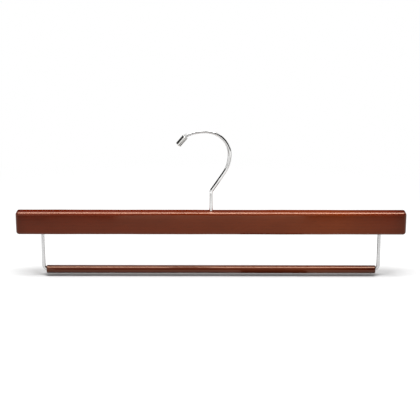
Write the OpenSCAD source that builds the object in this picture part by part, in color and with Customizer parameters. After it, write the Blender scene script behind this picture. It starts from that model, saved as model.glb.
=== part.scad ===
// Wooden trouser hanger: a straight batten with a swivelling wire hook, and a
// round trouser bar hung below it on two bent wire arms.
// The origin is the hook's seat, the highest point of the inside of the hook,
// where it bears on a rail. +X runs along the batten, +Z is up.

/* [Top bar] */
// Length of the batten
bar_length = 380; // [300:1:460]
// Height of the batten, from its underside to its top
bar_height = 23; // [18:0.5:32]
// Thickness of the batten, front to back
bar_thickness = 12; // [11:0.5:20]
// Radius sanded on every edge of the batten
bar_edge_radius = 2.5; // [1:0.1:4]

/* [Hook wire] */
// Diameter of the hook's wire
hook_wire_diameter = 3.5; // [2.8:0.1:4.2]
// Height of the straight stem above the batten
stem_height = 17.5; // [8:0.5:40]
// Angle by which the wire leans away from the stem
lean_angle = 34; // [20:1:50]
// Radius of the bend at the top of the stem
kink_radius = 8; // [5:0.5:14]
// Length of the straight slanting run
slant_run = 19; // [8:0.5:30]
// Radius of the bend that brings the slanting run upright
side_radius = 34; // [20:1:50]
// Radius of the crown on the stem's side
crown_radius = 23.2; // [18:0.2:32]
// Radius of the crown on the tip's side
brow_radius = 44; // [24:1:60]
// Turn of the tip's side of the crown
brow_angle = 23; // [15:1:45]
// Radius of the short bend before the tip
tip_radius = 5; // [5:0.5:12]
// Turn of the short bend before the tip
tip_angle = 27; // [5:1:40]

/* [Tip cap] */
// Length of the cap on the hook's tip
cap_length = 11; // [8:0.5:20]
// Wall of the cap
cap_wall = 1.05; // [0.6:0.05:1.5]
// Thickness of the cap's closed end
cap_end_wall = 1.6; // [1:0.1:3]
// Radius round the cap's closed end
cap_end_radius = 0.8; // [0.3:0.1:1.5]

/* [Swivel] */
// Radial clearance of the hook's shank in the batten and in the washer
swivel_clearance = 0.08; // [0.02:0.01:0.1]
// Gap between the washer and the head of the shank
swivel_play = 0.1; // [0.05:0.05:0.3]
// How far the head of the shank overhangs the wire all round
head_overhang = 1.05; // [0.8:0.05:1.4]
// Height of the domed head
head_height = 1.8; // [1.2:0.1:3]
// Outer diameter of the washer
washer_diameter = 7; // [6:0.1:9]
// Thickness of the washer
washer_thickness = 0.8; // [0.5:0.1:1.5]
// Radial clearance of the washer in its recess
recess_clearance = 0.2; // [0.1:0.05:0.4]
// Depth by which the head stays inside the recess
head_sink = 1; // [0.5:0.1:3]

/* [Arms] */
// Diameter of the arms' wire
arm_wire_diameter = 3.5; // [2.8:0.1:4]
// Distance from the batten's end to the middle of an arm
arm_inset = 25.5; // [15:0.5:60]
// Radius of the bend at an arm's foot
arm_bend_radius = 5; // [4:0.1:5.5]
// Depth by which an arm is driven into the batten
arm_socket_depth = 12; // [6:0.5:14]
// Space left above an arm in its socket
socket_end_gap = 0.5; // [0.2:0.1:1]
// Straight length of an arm's foot inside the trouser bar
arm_foot_run = 12; // [6:0.5:30]

/* [Trouser bar] */
// Diameter of the trouser bar
dowel_diameter = 8; // [7:0.5:14]
// Clear gap between the batten and the trouser bar
trouser_gap = 33.5; // [20:0.5:60]
// Distance from the middle of an arm to the end of the trouser bar
dowel_end_gap = 2.7; // [2.4:0.1:4]
// Radius round the ends of the trouser bar
dowel_end_radius = 0.8; // [0.3:0.1:1]
// Radial clearance of an arm's foot in the trouser bar
foot_clearance = 0.08; // [0.02:0.01:0.1]
// Space left past the end of an arm's foot
foot_end_gap = 1; // [0.5:0.5:5]
// Clearance of the flared mouth round the arm's bend
mouth_clearance = 0.15; // [0.1:0.05:0.3]

/* [Hidden] */
$fn = 64;
wood_colour = [0.4, 0.2, 0.13];
chrome_colour = [0.82, 0.82, 0.8];

// A wire's runs and bends stop this far short of the places where they meet. There
// a ball joins them, which is larger than the wire by a swell that can't be seen.
joint_gap = 0.05;
joint_swell = 0.02;
// A cut starts this far outside the surface that it opens
cut_margin = 1;

// The crown's top on the wire's centre line, seen from the stem at the top of the batten
crown_x = (kink_radius + side_radius) * (1 - cos(lean_angle)) + slant_run * sin(lean_angle) - crown_radius;
crown_z = stem_height + (kink_radius + side_radius) * sin(lean_angle) + slant_run * cos(lean_angle)
    + crown_radius;

// Places in the hanger's own frame
stem_x = -crown_x;
bar_top_z = hook_wire_diameter / 2 - crown_z;
underside_z = bar_top_z - bar_height;
dowel_z = underside_z - trouser_gap - dowel_diameter / 2;

// The swivel: the washer lies against the recess's ceiling, the head below it
head_diameter = hook_wire_diameter + 2 * head_overhang;
recess_depth = washer_thickness + swivel_play + head_height + head_sink;
recess_ceiling_z = underside_z + recess_depth;
head_top_z = recess_ceiling_z - washer_thickness - swivel_play;
shank_length = bar_top_z - head_top_z;

// The cap starts just past the tip's bend, and its bore ends at the wire's end
cap_start_gap = 0.2;
cap_diameter = hook_wire_diameter + 2 * cap_wall;
cap_bore_depth = cap_length - cap_end_wall;

// The arms hang straight down and turn in to the trouser bar's axis
arm_reach = bar_length / 2 - arm_inset;
arm_drop = arm_socket_depth + underside_z - dowel_z - arm_bend_radius;
dowel_length = 2 * (arm_reach - dowel_end_gap);
foot_bore_diameter = arm_wire_diameter + 2 * foot_clearance;
foot_bore_depth = arm_bend_radius + arm_foot_run + foot_end_gap - dowel_end_gap;

// Where the arm's bend crosses the trouser bar's end, the wire's upper side is still
// well above the axis, so the bore's mouth is flared to turn round it.
bend_left = arm_bend_radius - dowel_end_gap;
wire_top = arm_bend_radius - sqrt(pow(arm_bend_radius - arm_wire_diameter / 2, 2) - pow(bend_left, 2));
mouth_radius = wire_top + mouth_clearance;

// Runs and bends of the two wires, in the order in which they are bent:
// [length, 0] is a straight run, [radius, angle] is a bend, towards +X if positive.
hook_pieces = [
    [shank_length + stem_height, 0],
    [kink_radius, lean_angle],
    [slant_run, 0],
    [side_radius, -lean_angle],
    [crown_radius, -90],
    [brow_radius, -brow_angle],
    [tip_radius, -tip_angle],
    [cap_start_gap + cap_bore_depth, 0]
];
arm_pieces = [
    [arm_drop, 0],
    [arm_bend_radius, 90],
    [arm_foot_run, 0]
];

// One run or bend of wire, from the origin along +Z, that stops short at its ends
module wire_piece(diameter, piece, gap_before, gap_after) {
    size = piece[0];
    turn = piece[1];
    if (turn == 0) translate([0, 0, gap_before])
        cylinder(h = size - gap_before - gap_after, d = diameter);
    else mirror([turn < 0 ? 1 : 0, 0, 0])
        translate([size, 0, 0])
            rotate([90, 0, 0])
                rotate([0, 0, 180 - abs(turn) + arc_angle(size, gap_after)])
                    rotate_extrude(angle = abs(turn) - arc_angle(size, gap_before + gap_after))
                        translate([size, 0]) circle(d = diameter);
}

// Angle that an arc of this radius covers in this length
function arc_angle(radius, length) = length / radius * 180 / PI;

// Moves its children from a wire's start past its first pieces
module past_pieces(pieces, count, done = 0) {
    size = pieces[done][0];
    turn = pieces[done][1];
    centre = [turn < 0 ? -size : size, 0, 0];
    if (done == count) children();
    else if (turn == 0) translate([0, 0, size]) past_pieces(pieces, count, done + 1) children();
    else translate(centre)
        rotate([0, turn, 0])
            translate(-centre) past_pieces(pieces, count, done + 1) children();
}

// A round wire, bent piece by piece from its start, which points along +Z
module bent_wire(diameter, pieces) {
    last = len(pieces) - 1;
    for (i = [0 : last])
        past_pieces(pieces, i) {
            wire_piece(diameter, pieces[i], i == 0 ? 0 : joint_gap, i == last ? 0 : joint_gap);
            if (i > 0) sphere(d = diameter + joint_swell);
        }
}

// A block with all its edges and corners rounded, centred on the origin
module rounded_block(size, radius) {
    inner = size - 2 * radius * [1, 1, 1];
    cube([size.x, inner.y, inner.z], center = true);
    cube([inner.x, size.y, inner.z], center = true);
    cube([inner.x, inner.y, size.z], center = true);
    for (side = [-1, 1], end = [-1, 1]) {
        translate([0, side * inner.y / 2, end * inner.z / 2])
            rotate([0, 90, 0]) cylinder(h = inner.x, r = radius, center = true);
        translate([end * inner.x / 2, 0, side * inner.z / 2])
            rotate([90, 0, 0]) cylinder(h = inner.y, r = radius, center = true);
        translate([end * inner.x / 2, side * inner.y / 2, 0])
            cylinder(h = inner.z, r = radius, center = true);
    }
    for (x = [-1, 1], y = [-1, 1], z = [-1, 1])
        translate([x * inner.x / 2, y * inner.y / 2, z * inner.z / 2]) sphere(r = radius);
}

// Half the outline of a round bar that stands on the origin, rounded at one or both ends
module round_bar_outline(radius, length, edge, both_ends) {
    start = both_ends ? edge : 0;
    translate([0, start]) square([radius, length - edge - start]);
    square([radius - edge, length]);
    for (height = both_ends ? [edge, length - edge] : [length - edge])
        translate([radius - edge, height]) circle(r = edge);
}

// Places its children on the swivel's axis, at a height in the hanger's frame
module on_stem(height) {
    translate([stem_x, 0, height]) children();
}

module top_bar() {
    color(wood_colour)
        difference() {
            on_stem(underside_z + bar_height / 2)
                rounded_block([bar_length, bar_thickness, bar_height], bar_edge_radius);
            on_stem(underside_z)
                cylinder(h = bar_height + cut_margin, d = hook_wire_diameter + 2 * swivel_clearance);
            on_stem(underside_z - cut_margin)
                cylinder(h = recess_depth + cut_margin, d = washer_diameter + 2 * recess_clearance);
            for (side = [-1, 1])
                on_stem(underside_z - cut_margin)
                    translate([side * arm_reach, 0, 0])
                        cylinder(h = arm_socket_depth + socket_end_gap + cut_margin, d = arm_wire_diameter);
        }
}

// The hook's wire, with the domed head that is hammered up on its lower end
module hook_wire() {
    dome_radius = (pow(head_diameter / 2, 2) + pow(head_height, 2)) / (2 * head_height);
    color(chrome_colour)
        on_stem(head_top_z) {
            bent_wire(hook_wire_diameter, hook_pieces);
            intersection() {
                translate([0, 0, dome_radius - head_height]) sphere(r = dome_radius);
                translate([0, 0, -head_height]) cylinder(h = head_height, d = head_diameter);
            }
        }
}

module hook_tip_cap() {
    color(chrome_colour)
        on_stem(head_top_z)
            past_pieces(hook_pieces, len(hook_pieces) - 1)
                translate([0, 0, cap_start_gap])
                    difference() {
                        rotate_extrude()
                            round_bar_outline(cap_diameter / 2, cap_length, cap_end_radius, false);
                        translate([0, 0, -cut_margin])
                            cylinder(h = cap_bore_depth + cut_margin, d = hook_wire_diameter);
                    }
}

module hook_washer() {
    color(chrome_colour)
        on_stem(recess_ceiling_z - washer_thickness)
            difference() {
                cylinder(h = washer_thickness, d = washer_diameter);
                translate([0, 0, -cut_margin])
                    cylinder(h = washer_thickness + 2 * cut_margin,
                        d = hook_wire_diameter + 2 * swivel_clearance);
            }
}

// An arm on the left, upside down on its way from the socket to its foot
module arm_wire() {
    translate([-arm_reach, 0, underside_z + arm_socket_depth])
        rotate([180, 0, 0]) bent_wire(arm_wire_diameter, arm_pieces);
}

module left_arm() {
    color(chrome_colour) on_stem(0) arm_wire();
}

module right_arm() {
    color(chrome_colour) on_stem(0) mirror([1, 0, 0]) arm_wire();
}

// One end's bore for an arm's foot, from the trouser bar's end along +Z
module foot_bore() {
    translate([0, 0, -cut_margin]) cylinder(h = foot_bore_depth + cut_margin, d = foot_bore_diameter);
    cylinder(h = bend_left, r1 = mouth_radius, r2 = foot_bore_diameter / 2);
}

module trouser_bar() {
    color(wood_colour)
        on_stem(dowel_z)
            rotate([0, 90, 0])
                translate([0, 0, -dowel_length / 2])
                    difference() {
                        rotate_extrude()
                            round_bar_outline(dowel_diameter / 2, dowel_length, dowel_end_radius, true);
                        foot_bore();
                        translate([0, 0, dowel_length]) mirror([0, 0, 1]) foot_bore();
                    }
}

top_bar();
hook_wire();
hook_tip_cap();
hook_washer();
left_arm();
right_arm();
trouser_bar();
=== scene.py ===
"""The looks of a wooden trouser hanger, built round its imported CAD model."""

import math

import bmesh
import bpy
from mathutils import Matrix, Vector


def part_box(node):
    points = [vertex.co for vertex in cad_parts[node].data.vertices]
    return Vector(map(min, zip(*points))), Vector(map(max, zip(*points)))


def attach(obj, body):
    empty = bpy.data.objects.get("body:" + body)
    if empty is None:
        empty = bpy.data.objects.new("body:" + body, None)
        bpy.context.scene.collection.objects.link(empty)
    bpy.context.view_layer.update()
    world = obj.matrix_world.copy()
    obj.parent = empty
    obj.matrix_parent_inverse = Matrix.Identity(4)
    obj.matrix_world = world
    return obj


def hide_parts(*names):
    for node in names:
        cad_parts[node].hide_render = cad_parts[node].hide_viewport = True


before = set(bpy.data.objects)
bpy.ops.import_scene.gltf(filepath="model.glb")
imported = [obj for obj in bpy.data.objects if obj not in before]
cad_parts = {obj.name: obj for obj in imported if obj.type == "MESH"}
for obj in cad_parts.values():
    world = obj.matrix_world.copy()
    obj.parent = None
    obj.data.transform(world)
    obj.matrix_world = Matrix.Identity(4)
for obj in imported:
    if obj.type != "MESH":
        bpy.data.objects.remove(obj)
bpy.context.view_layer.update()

# Places in the hanger's frame, in metres, from the CAD nodes
bar_low, bar_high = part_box("top_bar")
BAR_LENGTH = bar_high.x - bar_low.x
BAR_THICKNESS = bar_high.y - bar_low.y
BAR_HEIGHT = bar_high.z - bar_low.z
BAR_TOP = bar_high.z
BAR_BOTTOM = bar_low.z
STEM_X = (bar_low.x + bar_high.x) / 2
dowel_low, dowel_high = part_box("trouser_bar")
DOWEL_LENGTH = dowel_high.x - dowel_low.x
DOWEL_RADIUS = (dowel_high.z - dowel_low.z) / 2
DOWEL_Z = (dowel_low.z + dowel_high.z) / 2
washer_low, washer_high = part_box("hook_washer")
HEAD_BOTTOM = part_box("hook_wire")[0].z

# The camera, fitted to the outlines of the batten, the arms and the trouser bar
VIEW_DISTANCE = 1.4
VIEW_ELEVATION = math.radians(18.335)
VIEW_ROLL = math.radians(0.068)
VIEW_ASIDE = 0.00101
VIEW_ABOVE = 0.00079
SENSOR_WIDTH = 36
LENS = 123.36

# The floor lies this far below the trouser bar, which hangs just clear of it. It
# is paler to what sees it directly than to what it lights, and turns plain white
# between two distances from the hanger.
FLOOR_GAP = 0.0026
FLOOR_Z = dowel_low.z - FLOOR_GAP
FLOOR_SIZE = 1.4
FLOOR_SEEN = 0.76
FLOOR_LIGHTING = 0.35
FLOOR_FADE = (0.2, 0.45)

# The light: a softbox's middle, size and brightness, and the world's fill light
LAMP_PLACE = (-0.02, -0.19, 1.0)
LAMP_SIZE = (1.1, 0.6)
LAMP_BRIGHTNESS = 7.8
WORLD_FILL = 0.4

# The batten: its sanded edges, which waver a little along its length in two waves,
# and not within a short way of its ends
BAR_EDGE = 0.0031
LOWER_EDGE_SHARE = 0.8
EDGE_WAVER = 0.05
LONG_WAVE = 0.117
SHORT_WAVE = 0.043
WAVER_EASE = 0.02
STATION_STEP = 0.005
CORNER_STEPS = 10

# The wires: the arms' runs and bend, and the head on the hook's shank
WIRE_RADIUS = 0.00175
ARM_BEND = 0.005
ARM_FOOT = 0.012
ARM_SOCKET = 0.012
ARM_INSET = 0.0255
ARM_REACH = BAR_LENGTH / 2 - ARM_INSET
HEAD_OVERHANG = 0.00105
HEAD_RADIUS = WIRE_RADIUS + HEAD_OVERHANG
HEAD_HEIGHT = 0.0018
HEAD_TOP = HEAD_BOTTOM + HEAD_HEIGHT

# The washer and the batten's holes
WASHER_EDGE = 0.00015
RUNNING_FIT = 0.00008
RECESS_RADIUS = 0.0037
SOCKET_GAP = 0.0005
HOLE_RIM = 0.00025
SOCKET_RIM = 0.0001
CUT_MARGIN = 0.001

# The cap on the hook's tip
CAP_WALL = 0.00105
CAP_RADIUS = WIRE_RADIUS + CAP_WALL
CAP_LENGTH = 0.011
CAP_END_WALL = 0.0016
CAP_START = 0.0002
CAP_MOUTH_EDGE = 0.0002
CAP_END_EDGE = 0.0008

# The hook's pieces above its head, in metres and degrees, as they are bent:
# (length, 0) is a straight run, (radius, angle) is a bend, towards +X if positive.
STEM_HEIGHT = 0.0175
HOOK_PIECES = (
    (BAR_TOP - HEAD_TOP + STEM_HEIGHT, 0),
    (0.008, 34),
    (0.019, 0),
    (0.034, -34),
    (0.0232, -90),
    (0.044, -23),
    (0.005, -27),
    (CAP_START + CAP_LENGTH - CAP_END_WALL, 0),
)

# The trouser bar's ends: rounded outside, bored for the arms' feet with some space
# past their ends, and with flared mouths
DOWEL_EDGE = 0.0008
FOOT_END_GAP = 0.001
FOOT_BORE_DEPTH = ARM_BEND + ARM_FOOT + FOOT_END_GAP - (ARM_REACH - DOWEL_LENGTH / 2)
MOUTH_RADIUS = 0.00285
MOUTH_DEPTH = 0.0023
MOUTH_LIP = 0.0002
MOUTH_TAPER = 0.0001

# How finely the round pieces are meshed
RING_POINTS = 48
BEND_STEP = math.radians(2)
EDGE_STEPS = 6
DOWEL_SPANS = 40

# Dark and grey walls that only reflections see, round the hook: name, first and last
# direction from +X towards +Y, lowest and highest elevation, all in degrees, and grey
WALL_DISTANCE = 1.0
WALL_STEP = 5
WALLS = (
    ("right_wall", -78, 5, -8, 41, 0.01),
    ("left_back_wall", 105, 125, -8, 20, 0.3),
    ("left_wall", 125, 230, 6, 30, 0.02),
    ("left_front_wall", 210, 230, -8, 6, 0.02),
    ("low_front_wall", 255, 285, -8, 10, 0.01),
    ("front_wall", 250, 280, 10, 42, 0.35),
)

# Flat cards that only reflections see: name, middle with its height above the floor,
# size and grey. The last two lie in front of the hook, above the batten.
CARDS = (
    ("near_card", (0, -0.025, 0.0003), (0.9, 0.21), 0.5),
    ("face_card", (0, -0.155, 0.0004), (0.9, 0.09), 0.33),
    ("front_card", (0, -0.76, 0.0004), (0.44, 0.48), 0.45),
    ("left_card", (-0.19, -0.23, 0.0005), (0.18, 0.08), 0.04),
    ("right_card", (0.2, -0.23, 0.0005), (0.18, 0.08), 0.04),
    ("under_card", (0.0675, 0.02, 0.0006), (0.065, 0.16), 0.08),
    ("left_hook_card", (-0.0255, -0.069, 0.1), (0.023, 0.082), 0.05),
    ("hook_card", (-0.005, -0.069, 0.1), (0.018, 0.082), 0.25),
)

# An upright card behind the batten, which its top face mirrors
BACK_CARD_DISTANCE = 0.08
BACK_CARD_LENGTH = 0.5
BACK_CARD_HEIGHT = 0.058
BACK_CARD_GREY = 0.01


def make_camera():
    """The camera, aimed at the foot of the hook's stem."""
    data = bpy.data.cameras.new("camera")
    data.lens = LENS
    data.sensor_width = SENSOR_WIDTH
    data.clip_end = 100
    camera = bpy.data.objects.new("camera", data)
    bpy.context.scene.collection.objects.link(camera)
    back = Vector((0, -math.cos(VIEW_ELEVATION), math.sin(VIEW_ELEVATION)))
    turn = (-back).to_track_quat("-Z", "Y").to_matrix() @ Matrix.Rotation(VIEW_ROLL, 3, "Z")
    aim = Vector((STEM_X, 0, BAR_TOP))
    shift = turn @ Vector((-VIEW_ASIDE, VIEW_ABOVE, 0))
    camera.matrix_world = Matrix.Translation(aim + back * VIEW_DISTANCE + shift) @ turn.to_4x4()
    bpy.context.scene.camera = camera


def new_material(name):
    """An empty node material, with its tree and its Principled shader."""
    material = bpy.data.materials.new(name)
    material.use_nodes = True
    return material, material.node_tree, material.node_tree.nodes["Principled BSDF"]


def add_node(tree, kind, inputs=None, **settings):
    """A node of this kind, with its settings and with values or links for its inputs."""
    node = tree.nodes.new(kind)
    for name, value in settings.items():
        setattr(node, name, value)
    for name, value in (inputs or {}).items():
        if isinstance(value, bpy.types.NodeSocket):
            tree.links.new(value, node.inputs[name])
        else:
            node.inputs[name].default_value = value
    return node


def maths(tree, operation, *values):
    """The result of a Math node on these values or links."""
    return add_node(tree, "ShaderNodeMath", dict(enumerate(values)), operation=operation).outputs[0]


def scaled(tree, vector, scale):
    """A vector with each of its parts multiplied."""
    node = add_node(tree, "ShaderNodeVectorMath", {0: vector, 1: scale}, operation="MULTIPLY")
    return node.outputs[0]


def noise(tree, vector, detail=2, roughness=0.5):
    """Soft noise from 0 to 1 with one feature to each unit of the vector."""
    inputs = {"Vector": vector, "Scale": 1, "Detail": detail, "Roughness": roughness}
    return add_node(tree, "ShaderNodeTexNoise", inputs).outputs["Fac"]


def remap(tree, value, low, high, to_low, to_high):
    """A value's stretch from low to high, eased to another stretch and held at its ends."""
    inputs = {
        "Value": value,
        "From Min": low,
        "From Max": high,
        "To Min": to_low,
        "To Max": to_high,
    }
    return add_node(tree, "ShaderNodeMapRange", inputs, interpolation_type="SMOOTHSTEP").outputs[0]


def blended(tree, share, first, second, blend_type="MIX"):
    """A mix of two colours."""
    inputs = {0: share, 6: first, 7: second}
    node = add_node(tree, "ShaderNodeMix", inputs, data_type="RGBA", blend_type=blend_type)
    return node.outputs[2]


def darkened(tree, share, colour, by):
    """A colour multiplied by another one to this share."""
    return blended(tree, share, colour, (*by, 1), "MULTIPLY")


def bump(tree, height, distance, strength=1.0, below=None):
    """A normal bent by a height from 0 to 1 that stands for this distance."""
    inputs = {"Height": height, "Distance": distance, "Strength": strength}
    if below is not None:
        inputs["Normal"] = below
    return add_node(tree, "ShaderNodeBump", inputs).outputs[0]


# The stain from the batten's left end to its right, linear: red, then brown, then warmer, with
# painted shade that darkens the last stretch at each end
STAIN_TONES_AND_END_SHADE = (
    (0.00, (0.090, 0.0070, 0.0012)),
    (0.03, (0.130, 0.0110, 0.0016)),
    (0.30, (0.150, 0.0160, 0.0026)),
    (0.60, (0.168, 0.0210, 0.0030)),
    (0.82, (0.205, 0.0290, 0.0030)),
    (0.96, (0.150, 0.0150, 0.0020)),
    (1.00, (0.090, 0.0070, 0.0012)),
)


def wood_material(name, length, pith, strength):
    """Stained and lacquered wood whose grain runs along X, round a pith at (Y, Z)."""
    material, tree, shader = new_material(name)
    place = add_node(tree, "ShaderNodeTexCoord").outputs["Object"]

    # Stain: its tone along the piece, darkened by painted shade near both ends, with soft blotches
    along = add_node(tree, "ShaderNodeSeparateXYZ", {0: place}).outputs[0]
    share = add_node(
        tree,
        "ShaderNodeMapRange",
        {"Value": along, "From Min": STEM_X - length / 2, "From Max": STEM_X + length / 2},
    ).outputs[0]
    stain_and_end_shade = add_node(tree, "ShaderNodeValToRGB", {0: share})
    ramp = stain_and_end_shade.color_ramp
    while len(ramp.elements) < len(STAIN_TONES_AND_END_SHADE):
        ramp.elements.new(0.5)
    for element, (position, colour) in zip(ramp.elements, STAIN_TONES_AND_END_SHADE):
        element.position = position
        element.color = (*(part * strength for part in colour), 1)
    blotches = noise(tree, scaled(tree, place, (22, 60, 60)), detail=3)
    blotches = remap(tree, blotches, 0.35, 0.7, 0, 0.5)
    colour = darkened(tree, blotches, stain_and_end_shade.outputs[0], (0.72, 0.68, 0.66))

    # Growth rings, long fibres and short dark pores
    centred = add_node(
        tree, "ShaderNodeVectorMath", {0: place, 1: (0, *pith)}, operation="SUBTRACT"
    ).outputs[0]
    rings = add_node(
        tree,
        "ShaderNodeTexWave",
        {
            "Vector": scaled(tree, centred, (0.05, 1, 1)),
            "Scale": 115,
            "Distortion": 2.2,
            "Detail": 2,
            "Detail Scale": 0.6,
        },
        wave_type="RINGS",
        rings_direction="X",
        wave_profile="SIN",
    ).outputs["Fac"]
    fibres = noise(tree, scaled(tree, place, (14, 1100, 1100)), detail=4, roughness=0.6)
    pores = noise(tree, scaled(tree, place, (110, 2600, 2600)), detail=1)
    pores = remap(tree, pores, 0.62, 0.74, 0, 1)
    colour = darkened(tree, remap(tree, rings, 0.55, 1, 0, 0.16), colour, (0.5, 0.38, 0.4))
    colour = darkened(tree, remap(tree, fibres, 0.4, 0.75, 0, 0.14), colour, (0.5, 0.4, 0.35))
    colour = darkened(tree, maths(tree, "MULTIPLY", pores, 0.35), colour, (0.2, 0.15, 0.15))

    # Edges and corners: a painted highlight lightens the colour along them
    edges = add_node(tree, "ShaderNodeNewGeometry").outputs["Pointiness"]
    painted_edge_highlight = remap(tree, edges, 0.51, 0.56, 0, 0.18)
    colour = blended(tree, painted_edge_highlight, colour, (0.2, 0.075, 0.03, 1))
    tree.links.new(colour, shader.inputs["Base Color"])

    # Lacquer: it lies in long shallow waves, and the pores telegraph through it
    waves = noise(tree, scaled(tree, place, (30, 90, 90)), detail=1)
    peel = noise(tree, scaled(tree, place, (500, 700, 700)), detail=1)
    normal = bump(tree, waves, 0.0001, 0.5)
    normal = bump(tree, peel, 0.000003, 0.3, normal)
    normal = bump(tree, maths(tree, "SUBTRACT", fibres, pores), 0.000002, 0.3, normal)
    tree.links.new(normal, shader.inputs["Normal"])
    tree.links.new(normal, shader.inputs["Coat Normal"])
    tree.links.new(remap(tree, fibres, 0.3, 0.7, 0.1, 0.16), shader.inputs["Roughness"])
    shader.inputs["Specular IOR Level"].default_value = 0.65
    shader.inputs["Specular Tint"].default_value = (1, 0.5, 0.26, 1)
    shader.inputs["Coat Weight"].default_value = 0.38
    shader.inputs["Coat Roughness"].default_value = 0.1
    return material


def wire_material(name, bright, dull, smooth, rough):
    """Plated steel wire: drawn lines along it, faint smudges, and wear where it rubs."""
    material, tree, shader = new_material(name)
    along = add_node(tree, "ShaderNodeAttribute", attribute_name="along_wire").outputs["Vector"]
    place = add_node(tree, "ShaderNodeTexCoord").outputs["Object"]
    drawn = noise(tree, scaled(tree, along, (3000, 3000, 60)), detail=3, roughness=0.6)
    smudges = noise(tree, scaled(tree, place, (140, 140, 140)), detail=3)
    specks = noise(tree, scaled(tree, place, (2200, 2200, 2200)), detail=1)
    specks = remap(tree, specks, 0.68, 0.76, 0, 1)

    # The crown's inside, where it has been rubbing on rails
    distance = add_node(tree, "ShaderNodeVectorMath", {0: place}, operation="LENGTH").outputs["Value"]
    height = add_node(tree, "ShaderNodeSeparateXYZ", {0: place}).outputs[2]
    rubbed = remap(tree, distance, 0.006, 0.012, 1, 0)
    rubbed = maths(tree, "MULTIPLY", rubbed, remap(tree, height, 0.0008, 0.0018, 1, 0))
    dulled = remap(tree, maths(tree, "MULTIPLY", smudges, drawn), 0.18, 0.4, 0, 0.5)
    dulled = maths(tree, "ADD", dulled, maths(tree, "MULTIPLY", specks, 0.5))
    dulled = maths(tree, "ADD", dulled, rubbed)
    colour = blended(tree, dulled, (*bright, 1), (*dull, 1))
    tree.links.new(colour, shader.inputs["Base Color"])
    tree.links.new(remap(tree, dulled, 0, 1, smooth, rough), shader.inputs["Roughness"])
    normal = bump(tree, drawn, 0.000008, 0.4)
    normal = bump(tree, smudges, 0.00004, 0.3, normal)
    tree.links.new(normal, shader.inputs["Normal"])
    shader.inputs["Metallic"].default_value = 1
    return material


def plane(name, size_x, size_y):
    """A flat rectangle, centred on the origin, that faces +Z."""
    mesh = bpy.data.meshes.new(name)
    x, y = size_x / 2, size_y / 2
    mesh.from_pydata([(-x, -y, 0), (x, -y, 0), (x, y, 0), (-x, y, 0)], [], [(0, 1, 2, 3)])
    obj = bpy.data.objects.new(name, mesh)
    bpy.context.scene.collection.objects.link(obj)
    return obj


def seen_directly(tree):
    """1 for the camera's rays and for those that a surface mirrors or lets through."""
    path = add_node(tree, "ShaderNodeLightPath")
    seen = maths(tree, "MAXIMUM", path.outputs["Is Camera Ray"], path.outputs["Is Glossy Ray"])
    return maths(tree, "MAXIMUM", seen, path.outputs["Is Transmission Ray"])


def make_floor():
    """A plain pale floor that fades to white away from the hanger."""
    floor = plane("floor", FLOOR_SIZE, FLOOR_SIZE)
    floor.location = (0, 0, FLOOR_Z)
    material, tree, shader = new_material("floor")
    grey = remap(tree, seen_directly(tree), 0, 1, FLOOR_LIGHTING, FLOOR_SEEN)
    tree.links.new(grey, shader.inputs["Base Color"])
    shader.inputs["Roughness"].default_value = 0.7
    shader.inputs["Specular IOR Level"].default_value = 0.1
    white = add_node(tree, "ShaderNodeEmission", {"Color": (1, 1, 1, 1), "Strength": 1})
    place = add_node(tree, "ShaderNodeTexCoord").outputs["Object"]
    distance = add_node(tree, "ShaderNodeVectorMath", {0: place}, operation="LENGTH").outputs["Value"]
    far = remap(tree, distance, *FLOOR_FADE, 0, 1)
    share = maths(tree, "MULTIPLY", far, seen_directly(tree))
    mix = add_node(tree, "ShaderNodeMixShader", {0: share, 1: shader.outputs[0], 2: white.outputs[0]})
    tree.links.new(mix.outputs[0], tree.nodes["Material Output"].inputs["Surface"])
    floor.data.materials.append(material)


def make_softbox():
    """A level rectangular lamp that shines down."""
    data = bpy.data.lights.new("top_light", "AREA")
    data.shape = "RECTANGLE"
    data.size, data.size_y = LAMP_SIZE
    data.energy = 4 * LAMP_BRIGHTNESS * LAMP_SIZE[0] * LAMP_SIZE[1]
    lamp = bpy.data.objects.new("top_light", data)
    lamp.location = LAMP_PLACE
    bpy.context.scene.collection.objects.link(lamp)


def only_reflected(obj, grey):
    """Makes a matt surface of the stage that only reflections see."""
    material, tree, shader = new_material(obj.name)
    shader.inputs["Base Color"].default_value = (grey, grey, grey, 1)
    shader.inputs["Roughness"].default_value = 1
    shader.inputs["Specular IOR Level"].default_value = 0
    obj.data.materials.append(material)
    obj.visible_camera = False
    obj.visible_diffuse = False
    obj.visible_shadow = False


def make_wall(name, first, last, low, high, grey):
    """A curved wall round the hook, between two directions and two elevations."""
    count = round((last - first) / WALL_STEP)
    places = []
    for elevation in (low, high):
        height = WALL_DISTANCE * math.tan(math.radians(elevation))
        for step in range(count + 1):
            angle = math.radians(first + (last - first) * step / count)
            places.append((WALL_DISTANCE * math.cos(angle), WALL_DISTANCE * math.sin(angle), height))
    faces = [(i, i + 1, i + count + 2, i + count + 1) for i in range(count)]
    mesh = bpy.data.meshes.new(name)
    mesh.from_pydata(places, [], faces)
    wall = bpy.data.objects.new(name, mesh)
    bpy.context.scene.collection.objects.link(wall)
    only_reflected(wall, grey)


def make_card(name, middle, size, grey):
    """A level card at a height above the floor."""
    card = plane(name, *size)
    card.location = Vector(middle) + Vector((0, 0, FLOOR_Z))
    only_reflected(card, grey)


def make_back_card():
    """An upright card behind the batten, from the level of its top face upwards."""
    card = plane("back_card", BACK_CARD_LENGTH, BACK_CARD_HEIGHT)
    card.rotation_euler = (math.pi / 2, 0, 0)
    card.location = (STEM_X, BACK_CARD_DISTANCE, BAR_TOP + BACK_CARD_HEIGHT / 2)
    only_reflected(card, BACK_CARD_GREY)


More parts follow.
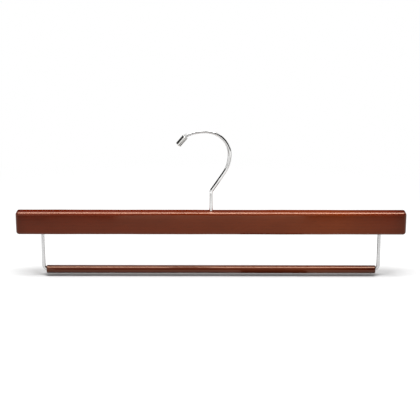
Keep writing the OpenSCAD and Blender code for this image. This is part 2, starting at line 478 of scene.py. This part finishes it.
def make_light():
    """A white world, a softbox above the hanger, and what the gloss mirrors."""
    world = bpy.data.worlds.new("world")
    world.use_nodes = True
    bpy.context.scene.world = world
    tree = world.node_tree
    background = tree.nodes["Background"]
    background.inputs["Color"].default_value = (1, 1, 1, 1)
    strength = remap(tree, seen_directly(tree), 0, 1, WORLD_FILL, 1)
    tree.links.new(strength, background.inputs["Strength"])
    make_softbox()
    for wall in WALLS:
        make_wall(*wall)
    for card in CARDS:
        make_card(*card)
    make_back_card()


def wire_path(pieces):
    """Points along a bent wire that starts from the origin along +Z.

    Each is (X, Z, the angle by which the wire has turned from +Z towards +X).
    """
    x = z = turned = 0
    points = [(x, z, turned)]
    for size, angle in pieces:
        if angle == 0:
            x += size * math.sin(turned)
            z += size * math.cos(turned)
            points.append((x, z, turned))
            continue
        side = math.copysign(1, angle)
        centre_x = x + side * size * math.cos(turned)
        centre_z = z - side * size * math.sin(turned)
        steps = math.ceil(abs(math.radians(angle)) / BEND_STEP)
        start = turned
        for step in range(1, steps + 1):
            turned = start + math.radians(angle) * step / steps
            x = centre_x - side * size * math.cos(turned)
            z = centre_z + side * size * math.sin(turned)
            points.append((x, z, turned))
    return points


def sweep(mesh, stations, closed=False):
    """Skins rings of vertices. Each station is (X, Z, angle turned, radius).

    The ends are closed with a face each, or joined to each other if the sweep is closed.
    """
    store = mesh.verts.layers.float_vector.new("along_wire")
    rings = []
    length = 0
    before = None
    for x, z, turned, radius in stations:
        across = Vector((math.cos(turned), 0, -math.sin(turned)))
        centre = Vector((x, 0, z))
        length += (centre - before).length if before else 0
        before = centre
        ring = []
        for i in range(RING_POINTS):
            angle = 2 * math.pi * i / RING_POINTS
            offset = radius * (math.cos(angle) * across + math.sin(angle) * Vector((0, 1, 0)))
            vertex = mesh.verts.new(centre + offset)
            vertex[store] = (radius * math.cos(angle), radius * math.sin(angle), length)
            ring.append(vertex)
        rings.append(ring)
    pairs = list(zip(rings, rings[1:]))
    if closed:
        pairs.append((rings[-1], rings[0]))
    for lower, upper in pairs:
        for i in range(RING_POINTS):
            j = (i + 1) % RING_POINTS
            mesh.faces.new((lower[i], lower[j], upper[j], upper[i]))
    if not closed:
        mesh.faces.new(rings[0])
        mesh.faces.new(reversed(rings[-1]))


def finish_mesh(mesh, name, place, material):
    """Turns the built mesh into a smooth-shaded object, placed in the hanger's frame."""
    bmesh.ops.transform(mesh, matrix=place, verts=mesh.verts)
    bmesh.ops.recalc_face_normals(mesh, faces=mesh.faces)
    data = bpy.data.meshes.new(name)
    mesh.to_mesh(data)
    mesh.free()
    for face in data.polygons:
        face.use_smooth = True
    data.set_sharp_from_angle(angle=math.radians(40))
    data.materials.append(material)
    obj = bpy.data.objects.new(name, data)
    bpy.context.scene.collection.objects.link(obj)
    return obj


def arc(centre_along, centre_radius, size, first, last):
    """Points on a rounded edge of a turned piece, as (distance along, radius)."""
    points = []
    for step in range(EDGE_STEPS + 1):
        angle = math.radians(first + (last - first) * step / EDGE_STEPS)
        points.append((centre_along + size * math.sin(angle), centre_radius + size * math.cos(angle)))
    return points


def section(half_y, half_z, upper_radius, lower_radius):
    """Points (Y, Z) round a rectangle with rounded corners."""
    points = []
    for corner, (side_y, side_z) in enumerate(((1, 1), (-1, 1), (-1, -1), (1, -1))):
        radius = upper_radius if side_z > 0 else lower_radius
        for step in range(CORNER_STEPS + 1):
            angle = math.pi / 2 * (corner + step / CORNER_STEPS)
            y = side_y * (half_y - radius) + radius * math.cos(angle)
            z = side_z * (half_z - radius) + radius * math.sin(angle)
            points.append((y, z))
    return points


def edge_radius(x):
    """The batten's edge radius at X: the sanding wavers along the length."""
    slow = math.sin(2 * math.pi * x / LONG_WAVE + 0.4)
    quick = 0.6 * math.sin(2 * math.pi * x / SHORT_WAVE + 1.3)
    return BAR_EDGE * (1 + EDGE_WAVER * (slow + quick))


def batten_stations():
    """(X, inset, corner radius) along the batten, with its rounded ends."""
    stations = []
    run = BAR_LENGTH / 2 - BAR_EDGE
    for step in range(CORNER_STEPS):
        angle = math.pi / 2 * (step + 0.3) / CORNER_STEPS
        depth = BAR_EDGE * math.cos(angle)
        inset = BAR_EDGE * (1 - math.sin(angle))
        stations.append((-run - depth, inset, max(BAR_EDGE - inset, 0.0001)))
    ends = [(-x, inset, radius) for x, inset, radius in reversed(stations)]
    count = round(2 * run / STATION_STEP)
    for step in range(count + 1):
        x = run * (2 * step / count - 1)
        ease = min(1, (run - abs(x)) / WAVER_EASE)
        stations.append((x, 0, BAR_EDGE + ease * (edge_radius(x) - BAR_EDGE)))
    return stations + ends


def drill(obj, x, start, depth, radius, rim):
    """Cuts a round hole with a softened rim, up or down from one of the batten's faces."""
    mesh = bmesh.new()
    inwards = math.copysign(1, depth)
    flared = radius + rim
    profile = ((-CUT_MARGIN, flared), (0, flared), (rim, radius), (abs(depth), radius))
    sweep(mesh, [(0, inwards * along, 0, size) for along, size in profile])
    cutter = finish_mesh(mesh, "cutter", Matrix.Translation((x, 0, start)), obj.data.materials[0])
    cut = obj.modifiers.new("hole", "BOOLEAN")
    cut.object = cutter
    cut.solver = "EXACT"
    apply_modifiers(obj)
    bpy.data.objects.remove(cutter)


def apply_modifiers(obj):
    """Replaces the object's mesh with the result of its modifiers."""
    evaluated = obj.evaluated_get(bpy.context.evaluated_depsgraph_get())
    made = bpy.data.meshes.new_from_object(evaluated)
    obj.modifiers.clear()
    old = obj.data
    obj.data = made
    bpy.data.meshes.remove(old)


def make_batten(material):
    """The batten, with rounded edges and ends and the holes drilled in it."""
    mesh = bmesh.new()
    rings = []
    for x, inset, radius in batten_stations():
        half_y, half_z = BAR_THICKNESS / 2 - inset, BAR_HEIGHT / 2 - inset
        outline = section(half_y, half_z, radius, radius * LOWER_EDGE_SHARE)
        rings.append([mesh.verts.new((x, y, z)) for y, z in outline])
    for before, after in zip(rings, rings[1:]):
        for i in range(len(before)):
            j = (i + 1) % len(before)
            mesh.faces.new((before[i], before[j], after[j], after[i]))
    mesh.faces.new(rings[0])
    mesh.faces.new(reversed(rings[-1]))
    middle = Matrix.Translation((STEM_X, 0, (BAR_TOP + BAR_BOTTOM) / 2))
    batten = finish_mesh(mesh, "batten", middle, material)
    drill(batten, STEM_X, BAR_TOP, -BAR_HEIGHT, WIRE_RADIUS + RUNNING_FIT, HOLE_RIM)
    drill(batten, STEM_X, BAR_BOTTOM, washer_high.z - BAR_BOTTOM, RECESS_RADIUS, HOLE_RIM)
    for side in (-1, 1):
        x = STEM_X + side * ARM_REACH
        drill(batten, x, BAR_BOTTOM, ARM_SOCKET + SOCKET_GAP, WIRE_RADIUS, SOCKET_RIM)
    batten.modifiers.new("flat faces", "WEIGHTED_NORMAL").keep_sharp = True
    apply_modifiers(batten)
    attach(batten, "frame")
    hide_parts("top_bar")


def make_dowel(material):
    """The round trouser bar, with its rounded ends and the bores for the arms' feet."""
    half = DOWEL_LENGTH / 2
    bore = WIRE_RADIUS + RUNNING_FIT
    plain = half - DOWEL_EDGE
    end = [
        (half - FOOT_BORE_DEPTH, bore),
        (half - MOUTH_DEPTH, bore),
        (half - MOUTH_LIP, MOUTH_RADIUS - MOUTH_TAPER),
        (half, MOUTH_RADIUS + MOUTH_LIP),
    ]
    right = end + list(reversed(arc(plain, DOWEL_RADIUS - DOWEL_EDGE, DOWEL_EDGE, 0, 90)))
    left = [(-along, radius) for along, radius in reversed(right)]
    steps = range(1, DOWEL_SPANS)
    middle = [(plain * (1 - 2 * i / DOWEL_SPANS), DOWEL_RADIUS) for i in steps]
    stations = [(0, along, 0, radius) for along, radius in right + middle + left]
    mesh = bmesh.new()
    sweep(mesh, stations)
    place = Matrix.Translation((STEM_X, 0, DOWEL_Z)) @ Matrix.Rotation(math.pi / 2, 4, "Y")
    dowel = finish_mesh(mesh, "round_bar", place, material)
    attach(dowel, "dowel")
    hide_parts("trouser_bar")


def make_washer(material):
    """The washer in the batten's recess, with softened edges."""
    inner = WIRE_RADIUS + RUNNING_FIT
    outer = (washer_high.x - washer_low.x) / 2
    thick = washer_high.z - washer_low.z
    profile = [(0, inner + WASHER_EDGE), (0, outer - WASHER_EDGE), (WASHER_EDGE, outer)]
    profile += [(thick - WASHER_EDGE, outer), (thick, outer - WASHER_EDGE)]
    profile += [(thick, inner + WASHER_EDGE), (thick - WASHER_EDGE, inner), (WASHER_EDGE, inner)]
    mesh = bmesh.new()
    sweep(mesh, [(0, along, 0, radius) for along, radius in profile], closed=True)
    washer = finish_mesh(mesh, "washer_disc", Matrix.Translation((STEM_X, 0, washer_low.z)), material)
    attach(washer, "frame")
    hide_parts("hook_washer")


def make_hook(material):
    """The hook's wire with its domed head, from the head up to the tip."""
    dome = (HEAD_RADIUS ** 2 + HEAD_HEIGHT ** 2) / (2 * HEAD_HEIGHT)
    reach = math.asin(HEAD_RADIUS / dome)
    stations = []
    for step in range(1, 2 * EDGE_STEPS + 1):
        angle = reach * step / (2 * EDGE_STEPS)
        z = dome - HEAD_HEIGHT - dome * math.cos(angle)
        stations.append((0, z, 0, dome * math.sin(angle)))
    stations += [(x, z, turned, WIRE_RADIUS) for x, z, turned in wire_path(HOOK_PIECES)]
    mesh = bmesh.new()
    sweep(mesh, stations)
    hook = finish_mesh(mesh, "hook_bent_wire", Matrix.Translation((STEM_X, 0, HEAD_TOP)), material)
    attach(hook, "hook")
    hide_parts("hook_wire")


def make_cap(material):
    """The cap on the hook's tip, with a rounded end and a softened mouth."""
    tip_x, tip_z, turned = wire_path(HOOK_PIECES[:-1])[-1]
    end = CAP_START + CAP_LENGTH
    profile = [(CAP_START, WIRE_RADIUS), (CAP_START, CAP_RADIUS - CAP_MOUTH_EDGE)]
    profile += arc(end - CAP_END_EDGE, CAP_RADIUS - CAP_END_EDGE, CAP_END_EDGE, 0, 90)
    profile.insert(2, (CAP_START + CAP_MOUTH_EDGE, CAP_RADIUS))
    stations = []
    for along, radius in profile:
        x = tip_x + along * math.sin(turned)
        z = tip_z + along * math.cos(turned)
        stations.append((x, z, turned, radius))
    mesh = bmesh.new()
    sweep(mesh, stations)
    cap = finish_mesh(mesh, "tip_cap", Matrix.Translation((STEM_X, 0, HEAD_TOP)), material)
    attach(cap, "hook")
    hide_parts("hook_tip_cap")


def make_arm(side, name, node, material):
    """An arm, from its end in the batten's socket down to its foot in the trouser bar."""
    drop = BAR_BOTTOM + ARM_SOCKET - DOWEL_Z - ARM_BEND
    pieces = ((drop, 0), (ARM_BEND, 90), (ARM_FOOT, 0))
    mesh = bmesh.new()
    sweep(mesh, [(x, z, turned, WIRE_RADIUS) for x, z, turned in wire_path(pieces)])
    top = Matrix.Translation((STEM_X + side * ARM_REACH, 0, BAR_BOTTOM + ARM_SOCKET))
    upside_down = Matrix.Diagonal((-side, 1, -1, 1))
    arm = finish_mesh(mesh, name, top @ upside_down, material)
    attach(arm, "frame")
    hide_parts(node)


make_camera()
make_floor()
make_light()
batten_wood = wood_material("stained_wood", BAR_LENGTH, (0.035, BAR_BOTTOM - 0.06), 1)
dowel_wood = wood_material("dowel_wood", DOWEL_LENGTH, (-0.03, DOWEL_Z + 0.05), 0.62)
washer_metal = wire_material("washer_chrome", (0.78, 0.78, 0.77), (0.55, 0.54, 0.52), 0.12, 0.3)
hook_metal = wire_material("hook_chrome", (0.92, 0.92, 0.91), (0.75, 0.74, 0.72), 0.03, 0.12)
cap_metal = wire_material("cap_chrome", (0.88, 0.87, 0.84), (0.75, 0.74, 0.7), 0.14, 0.26)
arm_metal = wire_material("arm_wire", (0.84, 0.84, 0.84), (0.74, 0.74, 0.73), 0.26, 0.4)
make_batten(batten_wood)
make_dowel(dowel_wood)
make_washer(washer_metal)
make_hook(hook_metal)
make_cap(cap_metal)
make_arm(-1, "left_arm_wire", "left_arm", arm_metal)
make_arm(1, "right_arm_wire", "right_arm", arm_metal)

bpy.context.scene.view_settings.view_transform = "Standard"
